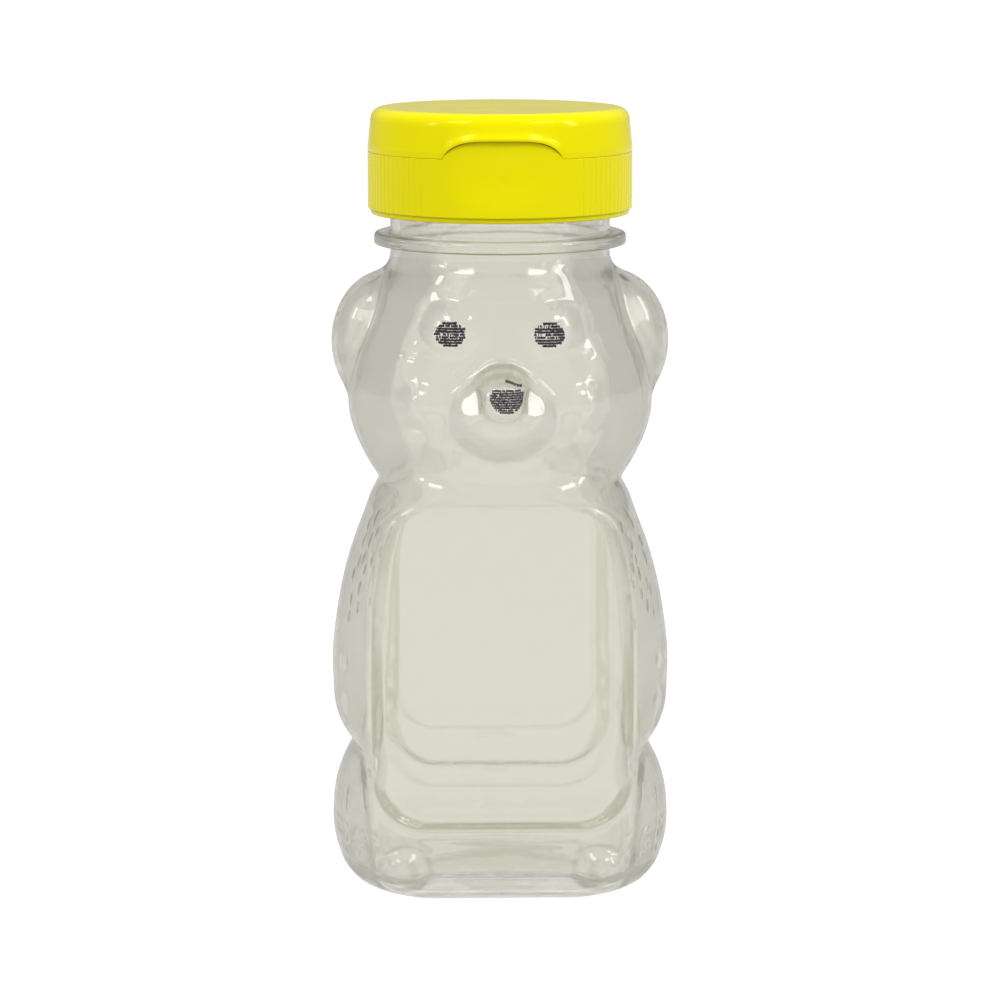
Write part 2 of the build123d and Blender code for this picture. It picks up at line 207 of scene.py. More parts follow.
bottle = {
    "columns": 720,
    "gridStep": 0.24,
    "meanRadius": 22,
    "neckRadius": 16.9,
    "boreRadius": 15.4,
    "neckTop": 112.4,
    "neckStep": 0.16,
    "ringFoot": 99.9,
    "ringTop": 101.7,
    "ringRadius": 19.4,
    "ringJoin": 0.6,
    "boreRim": 1.4,
    "boreStep": 1.0,
    "threadPitch": 4.233,
    "threadTurns": 1.1,
    "threadTop": 110.3,
    "threadDepth": 1.15,
    "threadFoot": 2.2,
    "threadCrest": 0.9,
    "threadRunIn": 0.035,
    "threadClear": 0.5,
    "threadBlur": 0.8,
    "notchHeight": 22.4,
    "waistHeight": 63.6,
    "shoulderHeight": 96.0,
    "legWidth": 26.3,
    "armWidth": 26.2,
    "torsoDepth": 20.6,
    "headWidth": 23.4,
    "headDepth": 19.4,
    "flareReach": 0.8,
    "flareTall": 2.2,
    "edgeSoftness": 0.45,
    "lastBlur": (0.5, 0.6),
    "waistSoftness": (1.7, 1.2),
    "waistReach": (5.5, 1.5),
    "waistSides": (0.25, 0.75),
    "sideMargin": 0.02,
    "sideRound": 0.1,
    "wall": 0.6,
    "leastWall": 0.32,
    "wallWaves": 0.1,
    "waveSoftness": 3.2,
    "innerBlur": (3.2, 3.6),
    "thickNeck": (92, 98),
    "innerStep": 0.42,
    "baseWall": 0.9,
    "baseShares": (0.03, 0.985),
    "baseRows": 30,
    "pushUp": (13.0, 10.0, 3.0),
    "pushUpEase": 1.2,
    "footTall": 4.0,
    "footRows": 34,
    "floorTall": 4.2,
    "floorRows": 22,
    "footEase": 1.8,
    "panelFoot": 12.6,
    "panelHead": 61.8,
    "panelCorner": 7.6,
    "panelDepth": 19.7,
    "frontPanelWidth": 19.3,
    "backPanelWidth": 17.6,
    "panelEdge": 0.42,
    "panelRib": 0.14,
    "creaseLine": ((0, 17.6), (5, 19.4), (11, 20.2), (16, 20.6), (22, 21.0)),
    "creaseDepth": 0.3,
    "creaseWidth": 0.45,
    "creaseFoot": (0.5, 3.0),
    "creaseHead": (23.0, 19.0),
    "foldReach": 0.26,
    "foldRange": (0.03, 0.1),
    "rippleSoftness": (0.42, 3.4),
    "rippleRise": 0.14,
    # height, how far off the ripples end and are full, and their share
    "rippleBands": ((62.6, 3.4, 1.6, 1.0), (10.4, 2.5, 1.0, 0.8), (95, 3.0, 1.0, 0.6)),
}
# height up the lobe, half width, half depth and the straight part, as shares
legShares = (
    (0.0, 0.76, 0.77, 0.40), (0.03, 0.85, 0.85, 0.45), (0.10, 0.92, 0.92, 0.52),
    (0.24, 0.975, 0.975, 0.58), (0.50, 1.0, 1.0, 0.63), (0.78, 0.955, 1.0, 0.66),
    (1.0, 0.855, 0.985, 0.68),
)
armShares = (
    (0.0, 0.855, 0.985, 0.68), (0.07, 0.945, 1.0, 0.68), (0.26, 1.0, 1.0, 0.67),
    (0.48, 0.975, 1.0, 0.66), (0.70, 0.90, 1.0, 0.65), (0.86, 0.81, 0.995, 0.60),
    (0.95, 0.755, 0.975, 0.54), (1.0, 0.71, 0.92, 0.46),
)
# height up the head, half width and half depth as shares, and how square the section is
headShares = (
    (0.0, 0.80, 0.935, 2.15), (0.10, 0.885, 0.97, 2.19), (0.32, 1.0, 1.0, 2.22),
    (0.56, 0.965, 0.995, 2.22), (0.80, 0.845, 0.95, 2.15), (1.0, 0.757, 0.913, 2.0),
)
# middle, half sizes and how softly each lobe joins the head or legs: bridge, muzzle, snout and tail
bearLobes = [
    ((0, -15.0, 85.0), (2.6, 4.2, 6.4), 1.2),
    ((0, -16.4, 75.8), (8.6, 7.4, 7.4), 1.3),
    ((0, -21.2, 78.6), (4.6, 4.6, 4.4), 0.5),
    ((0, 17.4, 8.5), (7.4, 4.35, 5.2), 0.2),
]
muzzle = bearLobes[1]
# on each side an ear, a cheek, a brow, two paw pads and a foot
for side in (-1, 1):
    bearLobes += [
        ((side * 17.0, 0, 84.8), (9.1, 6.2, 11.2), 1.4),
        ((side * 10.9, -14.2, 76.9), (4.8, 4.8, 4.8), 0.6),
        ((side * 6.6, -14.4, 88.0), (5.6, 4.9, 5.4), 0.5),
        ((side * 21.0, -12.6, 30.6), (3.6, 3.6, 3.2), 0.5),
        ((side * 21.3, -11.9, 36.6), (3.4, 3.4, 2.6), 0.5),
        ((side * 15.0, -16.4, 5.8), (4.6, 6.2, 4.4), 0.4),
    ]


def torsoReach(angles, heights, low, high, width, shares):
    up = np.clip((heights - low) / (high - low), 0, 1)
    places, widths, depths, flats = zip(*shares)
    wide = width * easeThrough(up, places, widths)
    deep = bottle["torsoDepth"] * easeThrough(up, places, depths)
    flat = width * easeThrough(up, places, flats)
    c, s = np.abs(np.cos(angles)), np.abs(np.sin(angles)) + 1e-9
    onFlat = deep / s
    bulge = wide - flat
    a = (c / bulge) ** 2 + (s / deep) ** 2
    b = c * flat / bulge ** 2
    rest = (flat / bulge) ** 2 - 1
    onSide = (b + np.sqrt(np.clip(b * b - a * rest, 0, None))) / a
    return np.where(onFlat * c <= flat, onFlat, onSide)


def headReach(angles, heights):
    low, high = bottle["waistHeight"], bottle["shoulderHeight"]
    up = np.clip((heights - low) / (high - low), 0, 1)
    places, widths, depths, squares = zip(*headShares)
    wide = bottle["headWidth"] * easeThrough(up, places, widths)
    deep = bottle["headDepth"] * easeThrough(up, places, depths)
    square = easeThrough(up, places, squares)
    c, s = np.abs(np.cos(angles)), np.abs(np.sin(angles))
    return ((c / wide) ** square + (s / deep) ** square) ** (-1 / square)


def bearReach(angles, heights):
    notch, waist, shoulder = bottle["notchHeight"], bottle["waistHeight"], bottle["shoulderHeight"]
    legs = torsoReach(angles, heights, 0, notch, bottle["legWidth"], legShares)
    arms = torsoReach(angles, heights, notch, waist, bottle["armWidth"], armShares)
    reach = np.where(heights < notch, legs, arms)
    reach = np.where(heights > waist, headReach(angles, heights), reach)
    flare = bottle["flareReach"] * smoothStep(shoulder + bottle["flareTall"], shoulder, heights)
    reach = np.where(heights > shoulder, bottle["neckRadius"] + flare, reach)
    for middle, half, blend in bearLobes:
        reach = softMax(reach, lobeReach(angles, heights, middle, half), blend)
    return reach


def withPanels(reach, angles, heights):
    # the label panels are planes let into the front and the back
    x = reach * np.cos(angles)
    middle = (bottle["panelFoot"] + bottle["panelHead"]) / 2
    tall = (bottle["panelHead"] - bottle["panelFoot"]) / 2 - bottle["panelCorner"]
    halfEdge = bottle["panelEdge"] / 2
    plane = bottle["panelDepth"] / np.clip(np.abs(np.sin(angles)), facingLimit, 1)
    ribs = np.zeros(reach.shape)
    for front, width in ((-1, bottle["frontPanelWidth"]), (1, bottle["backPanelWidth"])):
        beyondX = np.clip(np.abs(x) - (width - bottle["panelCorner"]), 0, None)
        beyondZ = np.clip(np.abs(heights - middle) - tall, 0, None)
        edge = np.hypot(beyondX, beyondZ) - bottle["panelCorner"]
        facing = np.sin(angles) * front > facingLimit
        sunk = np.where(facing, smoothStep(halfEdge, -halfEdge, edge), 0)
        reach = reach + (np.minimum(reach, plane) - reach) * sunk
        rib = bottle["panelRib"] * bell(edge - bottle["panelEdge"], halfEdge)
        ribs = ribs + np.where(facing, rib, 0)
    return reach, ribs


def legCrease(reach, angles, heights):
    # the line where each leg's lobe meets the belly
    x = np.abs(reach * np.cos(angles))
    places, offsets = zip(*bottle["creaseLine"])
    line = easeThrough(np.clip(heights, 0, places[-1]), places, offsets)
    fade = smoothStep(*bottle["creaseFoot"], heights) * smoothStep(*bottle["creaseHead"], heights)
    depth = bottle["creaseDepth"] * bell(x - line, bottle["creaseWidth"]) * fade
    return reach - depth * (np.sin(angles) < -facingLimit)


face = {
    # the muzzle's sides are a little flatter: which way each patch looks, its depth and its size
    "facets": (((-33, 16), 0.3, 3.3), ((33, 16), 0.3, 3.3)),
    "facetFadeShare": 0.75,
    "facetBeside": (2.8, 3.6),
    "facetRound": 0.12,
    # fine creases seen from the front: ends as (x, z), depth and width
    "creases": (
        ((-15.7, 84.5), (-9.8, 83.6), 0.16, 0.28),
        ((3.6, 83.0), (14.2, 84.8), 0.16, 0.28),
        ((-3.6, 84.1), (-7.7, 81.1), 0.2, 0.3),
        ((3.3, 84.1), (5.9, 80.4), 0.2, 0.3),
        ((-2.4, 92.1), (-1.8, 88.4), -0.12, 0.35),
        ((0.9, 89.9), (1.2, 87.6), -0.12, 0.35),
    ),
    "creaseFadeShare": 0.15,
}


def flattened(reach, angles, heights, look, depth, size):
    middle, half = np.array(muzzle[0]), np.array(muzzle[1])
    azimuth, elevation = math.radians(look[0]), math.radians(look[1])
    level = math.cos(elevation)
    normal = np.array((math.sin(azimuth) * level, -math.cos(azimuth) * level, math.sin(elevation)))
    touch = middle + half ** 2 * normal / np.linalg.norm(half * normal)
    c, s = np.cos(angles), np.sin(angles)
    points = np.stack([reach * c, reach * s, np.broadcast_to(heights, reach.shape)], -1)
    away = np.linalg.norm(points - touch, axis=-1)
    slope = c * normal[0] + s * normal[1]
    leaning = slope > facingLimit
    plane = (touch @ normal - depth - heights * normal[2]) / np.where(leaning, slope, facingLimit)
    share = smoothStep(size, size * face["facetFadeShare"], away)
    share = share * smoothStep(*face["facetBeside"], np.abs(points[..., 0])) * leaning
    return reach + (-softMax(-reach, -plane, face["facetRound"]) - reach) * share


def creased(reach, angles, heights, start, end, depth, width):
    x = reach * np.cos(angles)
    start, end = np.array(start), np.array(end)
    span = end - start
    along = ((x - start[0]) * span[0] + (heights - start[1]) * span[1]) / (span @ span)
    share = np.clip(along, 0, 1)
    away = np.hypot(x - start[0] - share * span[0], heights - start[1] - share * span[1])
    runIn = face["creaseFadeShare"]
    fade = smoothStep(0, runIn, share) * smoothStep(1, 1 - runIn, share)
    return reach - depth * bell(away, width) * fade * (np.sin(angles) < -facingLimit)


def threadRise(angles, heights, start, length):
    # a helical rib that begins at the start height and runs out at both ends
    runIn = bottle["threadRunIn"]
    rise = np.zeros(np.broadcast(angles, heights).shape)
    for lap in (0, 1):
        turns = angles % (2 * math.pi) / (2 * math.pi) + lap
        gap = np.abs(heights - start - bottle["threadPitch"] * turns)
        flankWidth = (bottle["threadFoot"] - bottle["threadCrest"]) / 2
        flank = (bottle["threadFoot"] / 2 - gap) / flankWidth
        ends = smoothStep(0, runIn, turns) * smoothStep(length, length - runIn, turns)
        rise = np.maximum(rise, bottle["threadDepth"] * np.clip(flank, 0, 1) * ends)
    return rise


threadStart = bottle["threadTop"] - bottle["threadTurns"] * bottle["threadPitch"]
angles = np.arange(bottle["columns"]) / bottle["columns"] * 2 * math.pi
gridHeights = np.arange(0, bottle["ringFoot"] + overrun, bottle["gridStep"])
columnStep = 2 * math.pi * bottle["meanRadius"] / bottle["columns"]
acrossGrid, upGrid = angles[None, :], gridHeights[:, None]


def softened(field, tall, wide):
    # a blur of the bottle's grid by millimetres
    return blurred(field, tall / bottle["gridStep"], wide / columnStep)


bearGrid = bearReach(acrossGrid, upGrid)
outerGrid = softened(bearGrid, bottle["edgeSoftness"], bottle["edgeSoftness"])
for facet in face["facets"]:
    outerGrid = flattened(outerGrid, acrossGrid, upGrid, *facet)
# the chin and nape run softly into the body, the sides of the neck stay pinched
waist = softened(bearGrid, *bottle["waistSoftness"])
nearWaist = smoothStep(*bottle["waistReach"], np.abs(gridHeights - bottle["waistHeight"]))[:, None]
frontShare = smoothStep(*bottle["waistSides"], np.abs(np.sin(angles)))[None, :]
outerGrid += (waist - outerGrid) * nearWaist * frontShare
outerGrid, panelRibs = withPanels(outerGrid, acrossGrid, upGrid)
outerGrid = blurred(outerGrid, *bottle["lastBlur"])
widest = (cadBox[1][0] / mm - bottle["sideMargin"]) / np.clip(np.abs(np.cos(angles)), facingLimit, 1)
outerGrid = -softMax(-outerGrid, -widest[None, :], bottle["sideRound"])
plainGrid = outerGrid.copy()
# from here on come fine lines that only the outside has
outerGrid = legCrease(outerGrid + panelRibs, acrossGrid, upGrid)
for crease in face["creases"]:
    outerGrid = creased(outerGrid, acrossGrid, upGrid, *crease)
ripples = softened(rng.normal(size=outerGrid.shape), *bottle["rippleSoftness"])
ripples *= bottle["rippleRise"] / np.abs(ripples).max()
rippled = sum(
    share * smoothStep(gone, full, np.abs(gridHeights - height))
    for height, gone, full, share in bottle["rippleBands"]
)
outerGrid += ripples * rippled[:, None]


def gridRows(grid, heights):
    at = np.interp(heights, gridHeights, np.arange(len(gridHeights)))
    low = np.clip(at.astype(int), 0, len(gridHeights) - 2)
    share = (at - low)[:, None]
    return grid[low] * (1 - share) + grid[low + 1] * share


def asRings(reach, heights):
    level = np.broadcast_to(heights[:, None], reach.shape)
    return np.stack([reach * np.cos(angles), reach * np.sin(angles), level], -1)


def baseRings(rim, lift, outward):
    # the underside, or the floor above it, pushed up in the middle
    shares = np.linspace(*bottle["baseShares"], bottle["baseRows"])
    rings = asRings(np.stack([rim * share for share in shares]), np.zeros(len(shares)))
    wide, deep, rise = bottle["pushUp"]
    inside = np.clip(1 - (rings[..., 0] / wide) ** 2 - (rings[..., 1] / deep) ** 2, 0, None)
    rings[..., 2] = lift + rise * inside ** bottle["pushUpEase"]
    return rings if outward else rings[::-1]


fur = {
    "armRows": 6,
    "armFoot": 44.5,
    "armStep": 2.7,
    "armColumns": (-44, -37, -30, 30, 37, 44),
    "strokeLength": 0.85,
    "strokeWidth": 0.17,
    "strokeRise": 0.2,
    "strokeSlant": 0.16,
    "heightStray": 0.8,
    "angleStray": 3,
    "slantStray": 0.15,
    "lengthShares": (0.8, 1.2),
    "riseShares": (0.7, 1.1),
    "strokeReach": 0.6,
    "strokeFadeShares": (1.35, 0.75),
    # degrees, height, half length and slant of each stroke on a leg
    "legStrokes": (
        (-52, 15.5, 2.0, 0.32), (-40, 16.5, 1.8, 0.28), (-28, 15.0, 1.9, 0.2),
        (24, 15.5, 2.0, -0.2), (40, 16.0, 1.9, -0.28),
    ),
    "legStrokeWidth": 0.14,
    "legStrokeRise": 0.12,
    "shinBumps": 9,
    "shinColumns": 3,
    "shinFrom": (-46, 7.0),
    "shinStep": (9, 1.9),
    "shinStray": (2, 0.4),
    # half length, width, slant and rise
    "shinBump": (0.5, 0.34, 0.5, 0.2),
}


def pressStroke(grid, angle, height, long, wide, slant, rise):
    # one raised stroke, laid on the grid near its middle
    around = ((angles - angle + math.pi) % (2 * math.pi) - math.pi)[None, :]
    first = max(0, int((height - 3 * long) / bottle["gridStep"]))
    rows = slice(first, int((height + 3 * long) / bottle["gridStep"]) + 1)
    across = around * grid[rows]
    up = (gridHeights[rows] - height)[:, None]
    along = up * math.cos(slant) + across * math.sin(slant)
    beside = across * math.cos(slant) - up * math.sin(slant)
    shape = bell(beside, wide) * smoothStep(*fur["strokeFadeShares"], np.abs(along) / long)
    grid[rows] += rise * shape * (np.abs(around) < fur["strokeReach"])


def stray(limit):
    return rng.uniform(-limit, limit)


for side, mirror in ((0, 1), (math.pi, -1)):
    for row in range(fur["armRows"]):
        for column, degrees in enumerate(fur["armColumns"]):
            height = fur["armFoot"] + fur["armStep"] * (row + 0.5 * (column % 2))
            height += stray(fur["heightStray"])
            angle = side + mirror * math.radians(degrees + stray(fur["angleStray"]))
            slant = mirror * math.copysign(fur["strokeSlant"], degrees) + stray(fur["slantStray"])
            long = fur["strokeLength"] * rng.uniform(*fur["lengthShares"])
            rise = fur["strokeRise"] * rng.uniform(*fur["riseShares"])
            pressStroke(outerGrid, angle, height, long, fur["strokeWidth"], slant, rise)
    for degrees, height, long, slant in fur["legStrokes"]:
        angle = side + mirror * math.radians(degrees)
        pressStroke(
            outerGrid, angle, height, long, fur["legStrokeWidth"], mirror * slant, fur["legStrokeRise"]
        )
    for bump in range(fur["shinBumps"]):
        row, column = divmod(bump, fur["shinColumns"])
        degrees = fur["shinFrom"][0] + fur["shinStep"][0] * column + stray(fur["shinStray"][0])
        height = fur["shinFrom"][1] + fur["shinStep"][1] * row + stray(fur["shinStray"][1])
        long, wide, slant, rise = fur["shinBump"]
        angle = side + mirror * math.radians(degrees)
        pressStroke(outerGrid, angle, height, long, wide, mirror * slant, rise)


def wallInside(grid, thickness):
    # moves the skin in by the same distance whatever way it leans
    inside = grid - thickness
    rowReach = int(math.ceil(thickness / bottle["gridStep"]))
    columnReach = int(math.ceil(thickness / columnStep)) + 1
    rows = np.arange(len(gridHeights))
    for rowMove in range(-rowReach, rowReach + 1):
        moved = grid[np.clip(rows + rowMove, 0, len(rows) - 1)]
        for columnMove in range(-columnReach, columnReach + 1):
            aside = (rowMove * bottle["gridStep"]) ** 2 + (columnMove * columnStep) ** 2
            if aside < thickness ** 2:
                drop = math.sqrt(thickness ** 2 - aside)
                inside = np.minimum(inside, np.roll(moved, -columnMove, 1) - drop)
    return inside


# how sharply the outside folds at each place, as a mask for painted shade lines along the creases
fold = np.abs(outerGrid - softened(outerGrid, bottle["foldReach"], bottle["foldReach"]))
foldShadeGrid = smoothStep(*bottle["foldRange"], fold)
waves = softened(rng.normal(size=outerGrid.shape), bottle["waveSoftness"], bottle["waveSoftness"])
waves /= np.abs(waves).max()
thick = smoothStep(*bottle["thickNeck"], gridHeights)[:, None]
evenGrid = wallInside(plainGrid, bottle["wall"] - bottle["wallWaves"]) - bottle["wallWaves"] * (1 + waves)
neckGrid = wallInside(plainGrid, bottle["neckRadius"] - bottle["boreRadius"])
innerGrid = blurred(evenGrid * (1 - thick) + neckGrid * thick, *bottle["innerBlur"])
innerGrid = np.minimum(innerGrid, wallInside(plainGrid, bottle["leastWall"]))
print("bear form ready")


def neckRings():
    # the transfer ring, the thread and the rim, down to the top of the bore
    line = softPath([
        (bottle["neckRadius"], bottle["ringFoot"] - bottle["ringJoin"], 0),
        (bottle["neckRadius"], bottle["ringFoot"], 0.35),
        (bottle["ringRadius"], bottle["ringFoot"], 0.4),
        (bottle["ringRadius"], bottle["ringTop"], 0.75),
        (bottle["neckRadius"], bottle["ringTop"], 0.3),
        (bottle["neckRadius"], bottle["neckTop"], 0.45),
        (bottle["boreRadius"], bottle["neckTop"], 0.4),
        (bottle["boreRadius"], bottle["neckTop"] - bottle["boreRim"], 0),
    ], bottle["neckStep"])
    rings = turned(line, angles)
    radii, levels = line[:, 0], line[:, 1]
    outside = radii > (bottle["neckRadius"] + bottle["boreRadius"]) / 2
    threaded = outside & (levels > bottle["ringTop"] + bottle["threadClear"])
    rise = threadRise(angles[None, :], levels[:, None], threadStart, bottle["threadTurns"])
    rise = blurred(rise * threaded[:, None], bottle["threadBlur"], bottle["threadBlur"])
    rings[..., 0] += rise * np.cos(angles)
    rings[..., 1] += rise * np.sin(angles)
    return rings


def innerWall():
    # down the bore and the inside of the bear to the edge of the floor
    floorShares = np.linspace(1, 0, bottle["floorRows"])[1:]
    heights = np.concatenate([
        np.arange(bottle["neckTop"] - bottle["boreRim"] - bottle["boreStep"], bottle["ringFoot"],
                  -bottle["boreStep"]),
        np.arange(bottle["ringFoot"] - bottle["boreStep"] / 2, bottle["floorTall"] + overrun,
                  -bottle["innerStep"]),
        bottle["floorTall"] * floorShares ** bottle["footEase"] + bottle["baseWall"] * (1 - floorShares),
    ])
    reach = gridRows(innerGrid, np.minimum(heights, bottle["ringFoot"]))
    reach[heights > bottle["ringFoot"] - bottle["boreStep"]] = bottle["boreRadius"]
    lowRows = slice(-bottle["floorRows"], None)
    floorReach = gridRows(plainGrid, heights[lowRows] - bottle["baseWall"]) - bottle["baseWall"]
    reach[lowRows] = np.minimum(reach[lowRows], floorReach)
    return reach, heights


def buildBottle():
    footHeights = bottle["footTall"] * np.linspace(0, 1, bottle["footRows"]) ** bottle["footEase"]
    firstRow = bottle["footTall"] + bottle["gridStep"]
    lastRow = bottle["ringFoot"] - bottle["ringJoin"]
    heights = np.concatenate([footHeights, np.arange(firstRow, lastRow, bottle["gridStep"])])
    innerReach, innerHeights = innerWall()
    rings = np.concatenate([
        baseRings(gridRows(outerGrid, np.array([0.0]))[0], 0.0, True),
        asRings(gridRows(outerGrid, heights), heights),
        neckRings(),
        asRings(innerReach, innerHeights),
        baseRings(innerReach[-1], bottle["baseWall"], False),
    ])
    rise = bottle["pushUp"][2]
    piece = ringSkin(
        "bear_bottle", rings, firstPole=(0, 0, rise), lastPole=(0, 0, rise + bottle["baseWall"])
    )
    # the mask of painted shade lines goes on the outside's points, for the clear plastic to darken
    folds = np.zeros(len(piece.data.vertices), np.float32)
    first = bottle["baseRows"] * bottle["columns"]
    folds[first:first + len(heights) * bottle["columns"]] = gridRows(foldShadeGrid, heights).ravel()
    piece.data.attributes.new("FoldShadeMask", "FLOAT", "POINT").data.foreach_set("value", folds)
    return piece


bottlePiece = buildBottle()
print("bottle built,", len(bottlePiece.data.polygons), "faces")


# the yellow closure: a screw base with a finger dish, and a lid with an arch over it

closure = {
    "columns": 1080,
    "radius": 20.3,
    "foot": 104.6,
    "parting": 114.1,
    "bandHeight": 0.8,
    "bandInset": 0.4,
    "gripStep": 360 / 108,
    "gripShare": 0.22,
    "gripDepth": 0.1,
    "gripFade": (0.05, 0.35),
    "smoothFront": 36.0,
    "smoothBack": 30.0,
    "dishFoot": 106.6,
    "dishLevel": 113.0,
    "dishWidth": 8.8,
    "dishDepth": 0.5,
    "dishFacing": 0.7,
    "dishInset": 1.2,
    "dishRound": 0.2,
    "archRise": 2.75,
    "archWidth": 9.0,
    "archSquare": 4,
    "archEase": 0.75,
    "archGap": 0.05,
    "gateLevel": 110.9,
    "gateRadius": 0.42,
    "gateWidth": 0.12,
    "gateDepth": 0.1,
    "skirtBore": 18.25,
    "upperBore": 17.5,
    "threadRelief": 111.5,
    "threadLead": 0.45,
    "deckUnderside": 113.3,
    "deckTop": 114.4,
    "collarRadius": 16.8,
    "collarWall": 1.1,
    "collarTop": 116.0,
    "collarClear": 0.1,
    "snapRise": 0.12,
    "snapHalf": 0.36,
    "spoutRadius": 4.5,
    "spoutTop": 115.9,
    "orifice": 3.175,
    "innerTurns": 1.35,
    "flankDrop": 1.54,
    "lineStep": 0.3,
    "skinBand": 0.3,
    "hair": 0.05,
    "boreBand": 0.02,
}
capAngles = np.arange(closure["columns"]) / closure["columns"] * 2 * math.pi - math.pi / 2
capCosine, capSine = np.cos(capAngles)[None, :], np.sin(capAngles)[None, :]
fromFront = np.degrees(np.arccos(np.clip(-capSine, -1, 1)))


def archLift():
    # how far the arch stands above the parting line, as seen from the front
    across = np.abs(closure["radius"] * capCosine) / closure["archWidth"]
    inside = np.clip(1 - across ** closure["archSquare"], 0, 1)
    return closure["archRise"] * inside ** closure["archEase"] * (capSine < 0)


def closureLine():
    foot, parting, radius = closure["foot"], closure["parting"], closure["radius"]
    bandRadius, bandTop = radius - closure["bandInset"], foot + closure["bandHeight"]
    collar, collarTop = closure["collarRadius"], closure["collarTop"]
    collarBore = collar - closure["collarWall"]
    return softPath([
        (closure["skirtBore"], foot, 0.25),
        (bandRadius, foot, 0.25),
        (bandRadius, bandTop, 0.08),
        (radius, bandTop, 0.12),
        (radius, parting, 0.1),
        (collar, parting, 0.15),
        (collar, collarTop - 2 * closure["snapHalf"], 0.1),
        (collar + closure["snapRise"], collarTop - closure["snapHalf"], 0.1),
        (collar, collarTop, 0.2),
        (collarBore, collarTop, 0.2),
        (collarBore, closure["deckTop"], 0.3),
        (closure["spoutRadius"], closure["deckTop"], 0.3),
        (closure["spoutRadius"], closure["spoutTop"], 0.25),
        (closure["orifice"], closure["spoutTop"], 0.2),
        (closure["orifice"], closure["deckUnderside"], 0.15),
        (closure["upperBore"], closure["deckUnderside"], 0.2),
        (closure["upperBore"], closure["threadRelief"], 0.1),
        (closure["skirtBore"], closure["threadRelief"], 0.1),
    ], closure["lineStep"], loop=True, arcSteps=5)


def gripCut(radii, levels):
    # fine upright grooves on both sides of the skirt
    bandTop = closure["foot"] + closure["bandHeight"]
    onSkirt = (radii > closure["radius"] - closure["skinBand"]) & (levels > bandTop - closure["hair"])
    phase = (fromFront / closure["gripStep"] + 0.5) % 1 - 0.5
    notch = np.clip(1 - np.abs(phase) / closure["gripShare"], 0, 1)
    ribbed = (fromFront > closure["smoothFront"]) & (fromFront < 180 - closure["smoothBack"])
    top, full = closure["gripFade"]
    fade = smoothStep(closure["parting"] - top, closure["parting"] - full, levels)
    return closure["gripDepth"] * notch * ribbed * onSkirt * fade


def frontRise(radii, levels):
    # the front of the base rises into the lid's arch, and the collar rises with it
    parting, collar = closure["parting"], closure["collarRadius"]
    lift = np.clip(archLift() - closure["archGap"], 0, None) * (capSine < 0)
    stretch = np.clip((levels - closure["dishFoot"]) / (parting - closure["dishFoot"]), 0, 1)
    onTop = (levels > parting - closure["skinBand"]) & (radii > collar - closure["hair"])
    onWall = (radii > closure["radius"] - closure["skinBand"]) & (levels > closure["dishFoot"])
    collarShare = np.clip((levels - parting) / (closure["collarTop"] - parting), 0, 1)
    collarLift = np.clip(parting + lift + closure["collarClear"] - closure["collarTop"], 0, None)
    collarBore = collar - closure["collarWall"]
    onCollar = (levels > parting + overrun) & (radii > collarBore - closure["hair"])
    raised = np.where(onWall, lift * stretch, np.where(onTop, lift, 0))
    raised = np.where(onCollar, lift * (1 - collarShare) + collarLift * collarShare, raised)
    onBore = onCollar & (radii < collarBore + closure["skinBand"])
    boreShare = np.clip((levels - closure["deckTop"]) / (closure["collarTop"] - closure["deckTop"]), 0, 1)
    return np.where(onBore, collarLift * boreShare, raised)


def dished(reach, radii, levels):
    # a shallow bowed face in front, which curves out to the skirt at its foot, and the gate's mark
    radius, depth = closure["radius"], closure["dishDepth"]
    sagitta = radius - math.sqrt(radius ** 2 - closure["dishWidth"] ** 2) - depth
    faceRadius = (closure["dishWidth"] ** 2 + sagitta ** 2) / (2 * sagitta)
    faceMiddle = faceRadius - (radius - depth)
    below = (closure["dishLevel"] - levels) / (closure["dishLevel"] - closure["dishFoot"])
    faceReach = faceRadius + depth * np.clip(below, 0, 2) ** 2
    plane = faceMiddle * capSine + np.sqrt((faceMiddle * capSine) ** 2 - faceMiddle ** 2 + faceReach ** 2)
    inDish = (-capSine > closure["dishFacing"]) & (radii > closure["collarRadius"] + closure["dishInset"])
    inDish = inDish & (levels > closure["foot"] + closure["bandHeight"])
    rounding = closure["dishRound"]
    reach = np.where(inDish & (reach > plane - rounding), -softMax(-reach, -plane, rounding), reach)
    gate = np.hypot(np.radians(fromFront) * radius, levels - closure["gateLevel"])
    return reach - closure["gateDepth"] * bell(gate - closure["gateRadius"], closure["gateWidth"]) * inDish


def buildClosure():
    line = closureLine()
    rings = turned(line, capAngles)
    radii, levels = line[:, 0][:, None], line[:, 1][:, None]
    cut = gripCut(radii, levels)
    levels = levels + frontRise(radii, levels)
    reach = dished(np.broadcast_to(radii, cut.shape) - cut, radii, levels)
    onBore = np.abs(radii - closure["skirtBore"]) < closure["boreBand"]
    onBore = onBore & (levels > closure["foot"] + closure["threadLead"])
    onBore = onBore & (levels < closure["threadRelief"])
    start = threadStart - closure["flankDrop"]
    reach = reach - threadRise(capAngles[None, :], levels, start, closure["innerTurns"]) * onBore
    rings[..., 0] = reach * capCosine
    rings[..., 1] = reach * capSine
    rings[..., 2] = levels
    return ringSkin("screw_closure", rings, loop=True)


closurePiece = buildClosure()
print("closure built,", len(closurePiece.data.polygons), "faces")

lid = {
    "foot": 114.13,
    "top": 120.8,
    "straight": 115.0,
    "draft": 0.6,
    "shoulderRound": 2.2,
    "wall": 1.2,
    "browRise": 0.26,
    "browWidth": 0.5,
    "browUp": 0.2,
    "browFade": (0.2, 1.6),
    "browDown": 2,
    "archFade": 0.4,
    "ringInner": 17.17,
    "ringWall": 0.9,
    "ringGap": 0.3,
    "ringClear": 0.25,
    "ringBand": 0.1,
    "plugRadius": 2.995,
    "plugWall": 0.8,
    "plugTip": 113.7,
    "tipRadius": 0.15,
    "topFlat": 1.0,
    "lineStep": 0.22,
}


